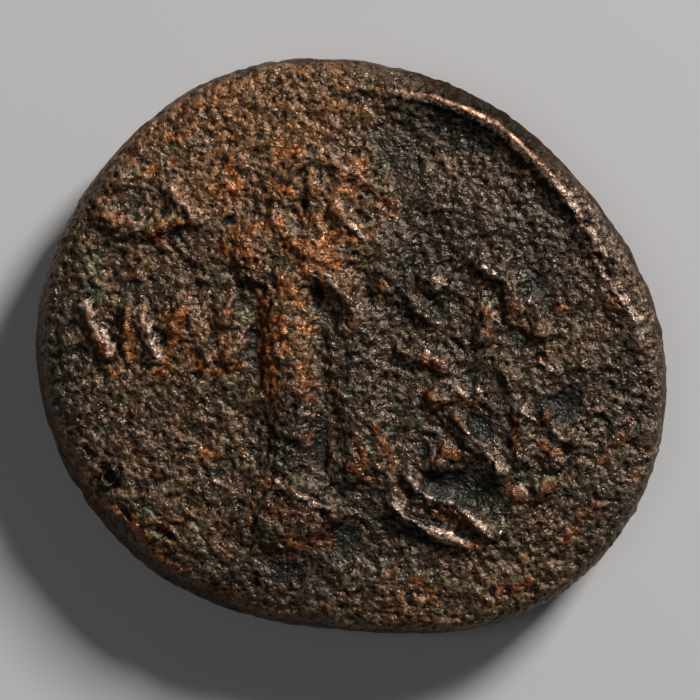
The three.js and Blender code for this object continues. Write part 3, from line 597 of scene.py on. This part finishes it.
def wear_down(mesh, points, face):
    """Brings the relief on the middle of the face a share of the way down to the field round it."""
    broad = worn(points[:, 2:], read_edges(mesh), WEAR_REACH)[:, 0]
    middle = 1.0 - smoothstep(*WEAR_FADE, np.hypot(points[:, 0], points[:, 1]))
    points[:, 2] += WEAR_SHARE * middle * face * (broad - points[:, 2])
    write_points(mesh, points)


def sharpen(coin, points, place, face):
    """Wears the relief, adds crests, flats, rim hollow and pit filling, and says how calm the skin stays."""
    crests = crest_heights(place) * face * broken(points)
    flats = ovals(place, FLATS) * face
    wear_down(coin.data, points, face)
    move(coin, "crests", CREST_REACH, crests)
    move(coin, "flats", -FLAT_REACH, flats)
    nearest, _, outside = rim_shares(points)
    beside = 1.0 - smoothstep(*HOLLOW_FADE, nearest)
    hollow = HOLLOW_DEPTH * beside * smoothstep(0.0, -0.2, outside) * face
    move(coin, "hollow", HOLLOW_DEPTH, hollow)
    upper_half = points[:, 2] > COIN_HIGH.z / 2
    move(coin, "filling", FILLING_HEIGHT, ovals(points, PIT_FILLING, 0.6, 1.0) * upper_half)
    apply_modifier(coin, "SMOOTH", factor=0.5, iterations=1)
    calm_flats = np.clip(flats / 0.09, 0.0, FLAT_CALM)
    calm_crests = CREST_CALM * np.clip(crests / 0.12, 0.0, 1.0)
    calm_slope = SLOPE_CALM * smoothstep(-0.1, 0.15, outside)
    return np.maximum(np.maximum(calm_flats, calm_crests), calm_slope)


def corrode(coin, points, place, face, calm):
    """Gives the skin its swells, lumps, grain and pits."""
    z = points[:, 2]
    underside = 1.0 - smoothstep(UNDERSIDE_TOP - 0.25, UNDERSIDE_TOP + 0.4, z)
    wall = (1.0 - face) * (1.0 - underside)
    set_weights(coin, "all_over", np.ones(len(points)))
    set_weights(coin, "grain", face * (1.0 - calm) + UNDERSIDE_GRAIN * underside + WALL_GRAIN * wall)
    roughen(coin, "swells", SWELLS, "all_over")
    roughen(coin, "lumps", LUMPS, "grain", noise_depth=2)
    roughen(coin, "corrosion", CORROSION, "grain", noise_depth=3)
    roughen(coin, "crumbs", CRUMBS, "grain", kind="VORONOI")
    move(coin, "pits", -PIT_REACH, ovals(place, PITS) * (z > FACE_FLOOR - 0.4))


def thin_out(coin):
    """Takes triangles from the wall and the underside, which show less, and keeps the figure side whole."""
    apply_modifier(coin, "TRIANGULATE")
    points = read_points(coin.data)
    set_weights(coin, "thin", 1.0 - smoothstep(FACE_FLOOR - 0.7, FACE_FLOOR - 0.2, points[:, 2]))
    share = SKIN_TRIANGLES / len(coin.data.polygons)
    if share < 1.0:
        apply_modifier(
            coin,
            "DECIMATE",
            decimate_type="COLLAPSE",
            ratio=share,
            vertex_group="thin",
            vertex_group_factor=8.0,
        )


def keep_in_box(mesh):
    """Brings points that the grain pushed past the CAD model's box back to it."""
    points = read_points(mesh)
    write_points(mesh, np.clip(points, COIN_LOW, COIN_HIGH))


def mark_surface(mesh):
    """Stores what the patina, the painted highlights and the painted shade follow: crests and hollows at two
    sizes, and the place of each colour.
    """
    points = read_points(mesh)
    normals = read(mesh.vertices, "normal", 3)
    edges = read_edges(mesh)
    fine = worn(points, edges, FINE_PASSES)
    broad = worn(fine, edges, BROAD_PASSES)
    set_attribute(mesh, "crest", ((points - fine) * normals).sum(axis=1) / FINE_HEIGHT)
    set_attribute(mesh, "rise", ((fine - broad) * normals).sum(axis=1) / BROAD_HEIGHT)
    z = points[:, 2]
    face = smoothstep(FACE_FLOOR - 0.5, FACE_FLOOR + 0.1, z)
    place = wandering(points)
    nearest, rubbed, outside = rim_shares(wandering(points, 0.3, 0.05))
    set_attribute(mesh, "face", face)
    set_attribute(mesh, "orange", streaks(place, ORANGE) * smoothstep(1.2, 2.4, z))
    set_attribute(mesh, "pale", streaks(place, PALE) * face)
    set_attribute(mesh, "dark", np.clip(ovals(place, FLATS) / 0.06, 0.0, 1.0) * face)
    set_attribute(mesh, "green", ovals(place, GREEN) * face)
    set_attribute(mesh, "light", ovals(place, LIGHT, 0.2, 1.6) - ovals(place, SHADE, 0.2, 1.6))
    line = 1.0 - smoothstep(0.01, 0.08, nearest)
    set_attribute(mesh, "rubbed", rubbed * broken(points, 0.3, 0.1) * line * face)
    # Where the slope beyond the rim's ridge and the band along it go near black: partly dark patina, partly
    # painted shade
    top = smoothstep(1.0, 3.2, place[:, 0]) * (0.35 + 0.65 * smoothstep(7.6, 5.8, place[:, 0]))
    sides = np.maximum(smoothstep(-0.03, 0.1, outside), 0.8 * smoothstep(0.55, 0.2, nearest))
    set_attribute(mesh, "outer", sides * top * smoothstep(0.6, 1.6, z))


def finish_piece(piece):
    """Brings a piece made in millimetres to its true size, shades it smooth and leaves it unscaled."""
    only(piece)
    piece.scale = (METRES,) * 3
    bpy.ops.object.transform_apply(location=False, rotation=False, scale=True)
    bpy.ops.object.shade_smooth()
    piece.vertex_groups.clear()


def make_struck_coin():
    coin = copy_of_solid()
    apply_modifier(coin, "REMESH", mode="VOXEL", voxel_size=SKIN_STEP, adaptivity=0.0)
    apply_modifier(coin, "SMOOTH", factor=0.5, iterations=3)
    points = read_points(coin.data)
    place = wandering(points, 0.5, 0.08)
    face = smoothstep(FACE_FLOOR - 0.5, FACE_FLOOR + 0.15, points[:, 2])
    calm = sharpen(coin, points, place, face)
    corrode(coin, points, place, face, calm)
    thin_out(coin)
    keep_in_box(coin.data)
    mark_surface(coin.data)
    finish_piece(coin)
    return coin


class Patina:
    """The coin's one material, built a layer at a time."""

    def __init__(self, name):
        self.material = bpy.data.materials.new(name)
        self.material.use_nodes = True
        self.tree = self.material.node_tree
        self.tree.nodes.clear()
        output = self.tree.nodes.new("ShaderNodeOutputMaterial")
        self.shader = self.tree.nodes.new("ShaderNodeBsdfPrincipled")
        self.tree.links.new(self.shader.outputs["BSDF"], output.inputs["Surface"])
        self.place = self.tree.nodes.new("ShaderNodeTexCoord").outputs["Object"]

    def fill(self, socket, value):
        """Sets a socket to a number or colour, or joins another node's output to it."""
        if isinstance(value, tuple):
            socket.default_value = (*value, 1.0)
        elif isinstance(value, (int, float)):
            socket.default_value = value
        else:
            self.tree.links.new(value, socket)

    def attribute(self, name):
        node = self.tree.nodes.new("ShaderNodeAttribute")
        node.attribute_name = name
        return node.outputs["Fac"]

    def noise(self, size, detail=4.0, roughness=0.6):
        """Noise whose grains are about a size in millimetres."""
        node = self.tree.nodes.new("ShaderNodeTexNoise")
        self.fill(node.inputs["Vector"], self.place)
        node.inputs["Scale"].default_value = 1.0 / (size * METRES)
        node.inputs["Detail"].default_value = detail
        node.inputs["Roughness"].default_value = roughness
        return node.outputs["Fac"]

    def jumbled(self, size, reach):
        """Places pushed about by noise, so that a pattern on them has no even grain."""
        pushes = self.tree.nodes.new("ShaderNodeTexNoise")
        self.fill(pushes.inputs["Vector"], self.place)
        pushes.inputs["Scale"].default_value = 1.0 / (size * METRES)
        pushed = self.tree.nodes.new("ShaderNodeVectorMath")
        pushed.operation = "MULTIPLY_ADD"
        self.fill(pushed.inputs[0], pushes.outputs["Color"])
        pushed.inputs[1].default_value = (reach * METRES,) * 3
        self.fill(pushed.inputs[2], self.place)
        return pushed.outputs["Vector"]

    def grains(self, size, place):
        """Grains of about a size: the distance from a grain's middle, and three numbers for each grain."""
        node = self.tree.nodes.new("ShaderNodeTexVoronoi")
        self.fill(node.inputs["Vector"], place)
        node.inputs["Scale"].default_value = 1.0 / (size * METRES)
        parts = self.tree.nodes.new("ShaderNodeSeparateColor")
        self.fill(parts.inputs["Color"], node.outputs["Color"])
        return node.outputs["Distance"], parts.outputs

    def math(self, operation, a, b, clamp=False):
        node = self.tree.nodes.new("ShaderNodeMath")
        node.operation = operation
        node.use_clamp = clamp
        self.fill(node.inputs[0], a)
        self.fill(node.inputs[1], b)
        return node.outputs[0]

    def times(self, a, b):
        return self.math("MULTIPLY", a, b, clamp=True)

    def total(self, *shares):
        """The sum of several values, each given with its weight."""
        result = None
        for value, weight in shares:
            part = self.math("MULTIPLY", value, weight)
            result = part if result is None else self.math("ADD", result, part)
        return result

    def spread(self, value, low, high, to_low=0.0, to_high=1.0):
        """Maps a range of a value softly to another range."""
        node = self.tree.nodes.new("ShaderNodeMapRange")
        node.interpolation_type = "SMOOTHSTEP"
        self.fill(node.inputs["Value"], value)
        node.inputs["From Min"].default_value = low
        node.inputs["From Max"].default_value = high
        node.inputs["To Min"].default_value = to_low
        node.inputs["To Max"].default_value = to_high
        return node.outputs["Result"]

    def layer(self, share, under, over):
        """One colour over another by a share."""
        node = self.tree.nodes.new("ShaderNodeMix")
        node.data_type = "RGBA"
        self.fill(node.inputs["Factor"], share)
        self.fill(node.inputs[6], under)
        self.fill(node.inputs[7], over)
        return node.outputs[2]

    def toned(self, colour, brightness):
        """A colour made lighter or darker."""
        node = self.tree.nodes.new("ShaderNodeHueSaturation")
        self.fill(node.inputs["Color"], colour)
        self.fill(node.inputs["Value"], brightness)
        return node.outputs["Color"]

    def bump(self, height, distance):
        node = self.tree.nodes.new("ShaderNodeBump")
        node.inputs["Distance"].default_value = distance * METRES
        self.fill(node.inputs["Height"], height)
        return node.outputs["Normal"]


# Patina colours, two of them also used for painted shade and painted highlights, as linear red, green and
# blue
SOOT_AND_SHADE = (0.006, 0.0046, 0.0036)
SLATE = (0.014, 0.018, 0.0165)
UMBER = (0.024, 0.0095, 0.004)
BROWN = (0.065, 0.029, 0.012)
TAN = (0.21, 0.12, 0.06)
GREY_GREEN = (0.1, 0.1, 0.06)
GREY_BROWN = (0.1, 0.087, 0.074)
WARM_BROWN = (0.19, 0.088, 0.03)
RUST = (0.29, 0.096, 0.022)
DARK_RUST = (0.09, 0.026, 0.009)
VERDIGRIS = (0.1, 0.14, 0.085)
PALE_METAL_AND_HIGHLIGHT = (0.37, 0.265, 0.21)
COPPER = (0.87, 0.48, 0.33)

# The reflections' warm tint, and the height in millimetres of the grain that is bump alone
WARM_TINT = (1.0, 0.82, 0.7)
BUMP_HEIGHT = 0.078


class Grain:
    """The noises and stored shares that the coin's colours, shine and bump have in common."""

    def __init__(self, p):
        middle, (self.a, self.b, self.c) = p.grains(0.16, p.jumbled(0.3, 0.3))
        self.blotch = p.noise(1.3)
        self.mould = p.noise(0.8, 5.0, 0.7)
        self.patch = p.noise(0.42)
        self.fine = p.noise(0.2, 5.0, 0.65)
        lumps = p.noise(0.26, 1.0)
        crumbs = p.noise(0.11, 2.0)
        self.height = p.total((p.math("SUBTRACT", 1.0, middle), 0.4), (lumps, 1.0), (crumbs, 0.7))
        self.crest = p.attribute("crest")
        self.light = p.attribute("light")
        self.orange = p.attribute("orange")
        self.cool = p.times(p.spread(self.light, 0.1, -0.9, 0.0, 0.6), p.spread(self.patch, 0.38, 0.58, 0.3))


def field_colour(p, grain):
    """Brown, tan and grey-green grains, greyer on the dark half and warmer on light and high places."""
    colour = p.layer(p.spread(grain.a, 0.15, 0.85), UMBER, BROWN)
    colour = p.layer(p.times(p.spread(grain.b, 0.4, 0.95), p.spread(grain.patch, 0.4, 0.58)), colour, TAN)
    mouldy = p.times(p.spread(grain.c, 0.2, 0.9), p.spread(grain.mould, 0.46, 0.62, 0.1, 0.9))
    colour = p.layer(mouldy, colour, GREY_GREEN)
    colour = p.layer(grain.cool, colour, GREY_BROWN)
    risen = p.spread(p.attribute("rise"), 0.1, 1.2)
    warmth = p.total((grain.light, 0.32), (risen, 0.25), (grain.blotch, 0.9), (grain.patch, 0.8))
    return p.layer(p.spread(warmth, 0.86, 1.24, 0.0, 0.7), colour, p.layer(grain.a, DARK_RUST, WARM_BROWN))


def patched_colour(p, grain):
    """The field with its orange-brown patches, its broad light and shade, and its green corrosion."""
    orange_share = p.spread(p.total((grain.orange, 1.0), (grain.patch, 0.7)), 0.55, 1.05, 0.0, 0.9)
    orange_share = p.times(orange_share, p.spread(grain.c, 0.1, 0.7, 0.6))
    orange = p.layer(p.spread(grain.fine, 0.35, 0.6), DARK_RUST, RUST)
    colour = p.layer(orange_share, field_colour(p, grain), orange)
    colour = p.toned(colour, p.spread(grain.light, -1.4, 1.4, 0.25, 1.45))
    green_share = p.times(p.attribute("green"), p.spread(grain.patch, 0.4, 0.55, 0.3, 0.9))
    return p.layer(p.times(green_share, p.spread(grain.fine, 0.4, 0.6, 0.4)), colour, VERDIGRIS)


def dirt_and_shade_share(p, grain):
    """Where dirt lies and shade is painted: both between lumps of the form and between grains of the bump,
    and dirt alone in dark spots.
    """
    pit = p.spread(grain.height, 0.98, 0.8)
    spot = p.spread(p.noise(0.36, 5.0, 0.7), 0.46, 0.38)
    gap = p.math("MAXIMUM", p.times(p.spread(grain.crest, 0.1, -1.0), 0.85), p.times(pit, 0.8))
    return p.math("MAXIMUM", gap, p.times(spot, 0.7))


def make_bronze():
    p = Patina("worn_bronze")
    grain = Grain(p)
    outer = p.attribute("outer")
    dark = p.attribute("dark")
    rubbed = p.attribute("rubbed")
    gap = dirt_and_shade_share(p, grain)
    wall = p.spread(p.attribute("face"), 0.15, 0.75, 0.8, 0.0)
    # Pale grains on rubbed places and along the flanks, more on the darker half: partly rubbed metal, partly
    # painted highlights
    raised = p.total((p.attribute("pale"), 1.0), (grain.fine, 1.4), (grain.crest, 0.2), (grain.cool, 0.32))
    pale_share = p.spread(raised, 1.1, 1.95, 0.0, 0.85)

    # The outer slope in near black, with metal and more roughness: partly dark patina, partly painted shade
    # that keeps the pale floor's reflection off it
    colour = p.layer(p.times(outer, 0.9), patched_colour(p, grain), SOOT_AND_SHADE)
    colour = p.layer(pale_share, colour, PALE_METAL_AND_HIGHLIGHT)
    # Near-black in the hollows between lumps and grains: partly dirt, partly painted shade
    colour = p.layer(gap, colour, SOOT_AND_SHADE)
    colour = p.layer(p.times(dark, p.spread(grain.fine, 0.45, 0.65, 0.85, 0.5)), colour, SLATE)
    # The wall in dark umber: partly its dark patina, partly painted shade that keeps the pale floor's light
    # off it
    colour = p.layer(p.times(wall, p.spread(grain.orange, 0.2, 0.8, 1.0, 0.3)), colour, UMBER)
    p.fill(p.shader.inputs["Base Color"], p.layer(rubbed, colour, COPPER))

    shine = [(rubbed, 0.8), (pale_share, 0.35), (p.spread(grain.c, 0.3, 0.9), 0.28)]
    # Metal on dark places darkens them further: partly dark patina, partly painted shade on the gaps, the
    # outer slope and the wall
    depth = [(gap, 0.5), (outer, 0.6), (dark, 0.5), (wall, 0.5), (grain.cool, 0.3)]
    metal = p.total(*shine, *depth)
    p.fill(p.shader.inputs["Metallic"], p.math("MINIMUM", metal, 0.9))
    roughness = p.total((p.spread(grain.b, 0.1, 0.9, 0.25, 0.5), 1.0), (outer, 0.25), (dark, 0.08))
    p.fill(p.shader.inputs["Roughness"], roughness)
    p.fill(p.shader.inputs["IOR"], 1.5)
    p.fill(p.shader.inputs["Specular Tint"], WARM_TINT)
    p.fill(p.shader.inputs["Normal"], p.bump(grain.height, BUMP_HEIGHT))
    return p.material


# The stage, in metres: a floor, and for each lamp its azimuth, elevation, distance, size, power and colour
FLOOR_SIZE = 2.0
FLOOR_COLOUR = (0.38, 0.39, 0.41, 1.0)
FLOOR_ROUGHNESS = 0.85
KEY = (50, 32, 0.4, 0.1, 3.1, (1.0, 0.95, 0.89))
FILL = (190, 72, 0.5, 0.2, 0.3, (1.0, 0.95, 0.9))
STUDIO_LIGHT = 0.045


def make_floor():
    bpy.ops.mesh.primitive_plane_add(size=FLOOR_SIZE, location=(0.0, 0.0, COIN_LOW.z * METRES))
    floor = bpy.context.object
    floor.name = "floor"
    paper = bpy.data.materials.new("pale_floor")
    paper.use_nodes = True
    shader = paper.node_tree.nodes["Principled BSDF"]
    shader.inputs["Base Color"].default_value = FLOOR_COLOUR
    shader.inputs["Roughness"].default_value = FLOOR_ROUGHNESS
    floor.data.materials.append(paper)


def add_lamp(name, azimuth, elevation, distance, size, power, colour):
    """An area light on a direction from the coin, turned towards it. Azimuth 0 is along +X."""
    turn, tilt = math.radians(azimuth), math.radians(elevation)
    way = Vector((math.cos(tilt) * math.cos(turn), math.cos(tilt) * math.sin(turn), math.sin(tilt)))
    lamp = bpy.data.lights.new(name, "AREA")
    lamp.shape = "SQUARE"
    lamp.size = size
    lamp.energy = power
    lamp.color = colour
    holder = bpy.data.objects.new(name, lamp)
    holder.location = way * distance
    holder.rotation_euler = way.to_track_quat("Z", "Y").to_euler()
    bpy.context.collection.objects.link(holder)


def make_light():
    add_lamp("key", *KEY)
    add_lamp("fill", *FILL)
    world = bpy.data.worlds.new("studio")
    world.use_nodes = True
    background = world.node_tree.nodes["Background"]
    background.inputs["Color"].default_value = (1.0, 1.0, 1.0, 1.0)
    background.inputs["Strength"].default_value = STUDIO_LIGHT
    bpy.context.scene.world = world


# The photograph's frame: how much of the coin's plane it covers, and where its middle falls
FRAME_WIDTH = 23.26
FRAME_MIDDLE = (-0.033, -0.133)
CAMERA_DISTANCE = 260.0
SENSOR = 36.0
CLIP_START = 0.01
CLIP_END = 10.0


def make_camera():
    camera = bpy.data.cameras.new("camera")
    camera.sensor_width = SENSOR
    camera.lens = SENSOR * (CAMERA_DISTANCE + COIN_HIGH.z / 2) / FRAME_WIDTH
    camera.clip_start = CLIP_START
    camera.clip_end = CLIP_END
    holder = bpy.data.objects.new("camera", camera)
    holder.location = Vector((*FRAME_MIDDLE, COIN_HIGH.z + CAMERA_DISTANCE)) * METRES
    bpy.context.collection.objects.link(holder)
    bpy.context.scene.camera = holder


make_camera()
make_light()
make_floor()
struck_coin = make_struck_coin()
struck_coin.data.materials.clear()
struck_coin.data.materials.append(make_bronze())
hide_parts("coin")
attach(struck_coin, "root")

bpy.context.scene.view_settings.view_transform = "Standard"
